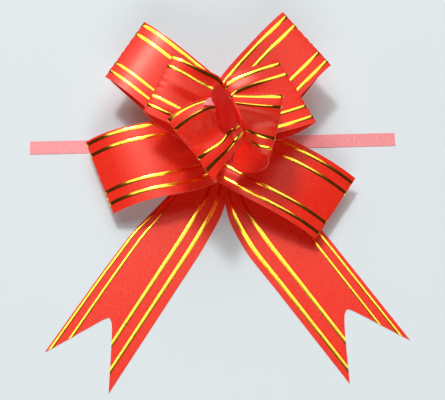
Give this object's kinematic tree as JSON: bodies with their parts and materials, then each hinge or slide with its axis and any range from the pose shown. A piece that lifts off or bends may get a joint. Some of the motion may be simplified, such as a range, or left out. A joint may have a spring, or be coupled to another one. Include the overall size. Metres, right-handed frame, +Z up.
{
  "type": "gift bow",
  "caption": "Pull bow of wide ribbon: layered loops fanned round a welded hub, two swallowtail tails, and narrow pull ribbons running flat to both sides.",
  "frame": {"origin": "underside of the pull ribbon at the foot of the hub, on the plane the bow lies on", "axes": "+X right along the pull ribbons, +Y to the back, away from the tails, +Z up the hub"},
  "size_m": [0.1502, 0.1463, 0.0509],
  "materials": {
    "red_satin_film": "satin embossed polypropylene film, 0.2 mm",
    "gold_foil": "hot-stamped gold foil line, mirror",
    "pink_film": "thin pink polypropylene pull ribbon, satin",
    "welded_film": "ultrasonically welded film, glazed"
  },
  "bodies": {
    "hub": {"weld_pad_1": "welded_film", "threaded_strip_left": "pink_film", "threaded_strip_right": "pink_film", "pull_ribbon_left": "pink_film", "pull_ribbon_right": "pink_film"},
    "front_layer": {"weld_pad_2": "welded_film"},
    "back_layer": {"weld_pad_3": "welded_film"},
    "middle_layer": {"weld_pad_4": "welded_film"},
    "top_layer": {"end_weld": "welded_film"},
    "loop_front_left": {"loop_front_left": "red_satin_film"},
    "loop_front_right": {"loop_front_right": "red_satin_film"},
    "loop_back_left": {"loop_back_left": "red_satin_film"},
    "loop_back_right": {"loop_back_right": "red_satin_film"},
    "loop_middle_left": {"loop_middle_left": "red_satin_film"},
    "loop_middle_right": {"loop_middle_right": "red_satin_film"},
    "loop_top_left": {"loop_top_left": "red_satin_film"},
    "loop_top_right": {"loop_top_right": "red_satin_film"},
    "tail_left": {"tail_left": "red_satin_film"},
    "tail_right": {"tail_right": "red_satin_film"}
  },
  "joints": [
    {"name": "front_layer_turn", "type": "hinge", "parent": "hub", "child": "front_layer", "pos_m": [0, 0, 0], "axis": [0, 0, 1], "range_deg": [-6, 6]},
    {"name": "back_layer_turn", "type": "hinge", "parent": "front_layer", "child": "back_layer", "pos_m": [0, 0, 0], "axis": [0, 0, 1], "range_deg": [-6, 6]},
    {"name": "middle_layer_turn", "type": "hinge", "parent": "back_layer", "child": "middle_layer", "pos_m": [0, 0, 0], "axis": [0, 0, 1], "range_deg": [-6, 6]},
    {"name": "top_layer_turn", "type": "hinge", "parent": "middle_layer", "child": "top_layer", "pos_m": [0, 0, 0], "axis": [0, 0, 1], "range_deg": [-6, 6]},
    {"name": "front_left_lift", "type": "hinge", "parent": "front_layer", "child": "loop_front_left", "pos_m": [-0.00465, -0.00183, 0.00435], "axis": [-0.3665, 0.9304, 0], "range_deg": [0, 8], "stiffness_Nm_per_rad": 0.02},
    {"name": "front_right_lift", "type": "hinge", "parent": "front_layer", "child": "loop_front_right", "pos_m": [0.00408, -0.0029, 0.00435], "axis": [-0.5793, -0.8151, 0], "range_deg": [0, 8], "stiffness_Nm_per_rad": 0.02},
    {"name": "back_left_lift", "type": "hinge", "parent": "back_layer", "child": "loop_back_left", "pos_m": [-0.00392, 0.0031, 0.00985], "axis": [0.6198, 0.7848, 0], "range_deg": [-4, 6], "stiffness_Nm_per_rad": 0.02},
    {"name": "back_right_lift", "type": "hinge", "parent": "back_layer", "child": "loop_back_right", "pos_m": [0.00339, 0.00367, 0.00985], "axis": [0.7349, -0.6782, 0], "range_deg": [-4, 3], "stiffness_Nm_per_rad": 0.02},
    {"name": "middle_left_lift", "type": "hinge", "parent": "middle_layer", "child": "loop_middle_left", "pos_m": [-0.00445, 0.00227, 0.01535], "axis": [0.454, 0.891, 0], "range_deg": [-6, 8], "stiffness_Nm_per_rad": 0.02},
    {"name": "middle_right_lift", "type": "hinge", "parent": "middle_layer", "child": "loop_middle_right", "pos_m": [0.00458, 0.00199, 0.01535], "axis": [0.3987, -0.9171, 0], "range_deg": [-2, 4], "stiffness_Nm_per_rad": 0.02},
    {"name": "top_left_lift", "type": "hinge", "parent": "top_layer", "child": "loop_top_left", "pos_m": [-0.00347, -0.0036, 0.02085], "axis": [-0.7193, 0.6947, 0], "range_deg": [-6, 0], "stiffness_Nm_per_rad": 0.02},
    {"name": "top_right_lift", "type": "hinge", "parent": "top_layer", "child": "loop_top_right", "pos_m": [0.00455, -0.00207, 0.02085], "axis": [-0.4147, -0.91, 0], "range_deg": [-4, 0], "stiffness_Nm_per_rad": 0.02},
    {"name": "tail_left_swing", "type": "hinge", "parent": "hub", "child": "tail_left", "pos_m": [0, 0, 0], "axis": [0, 0, 1], "range_deg": [-12, 4]},
    {"name": "tail_right_swing", "type": "hinge", "parent": "hub", "child": "tail_right", "pos_m": [0, 0, 0], "axis": [0, 0, 1], "range_deg": [-4, 12]}
  ]
}
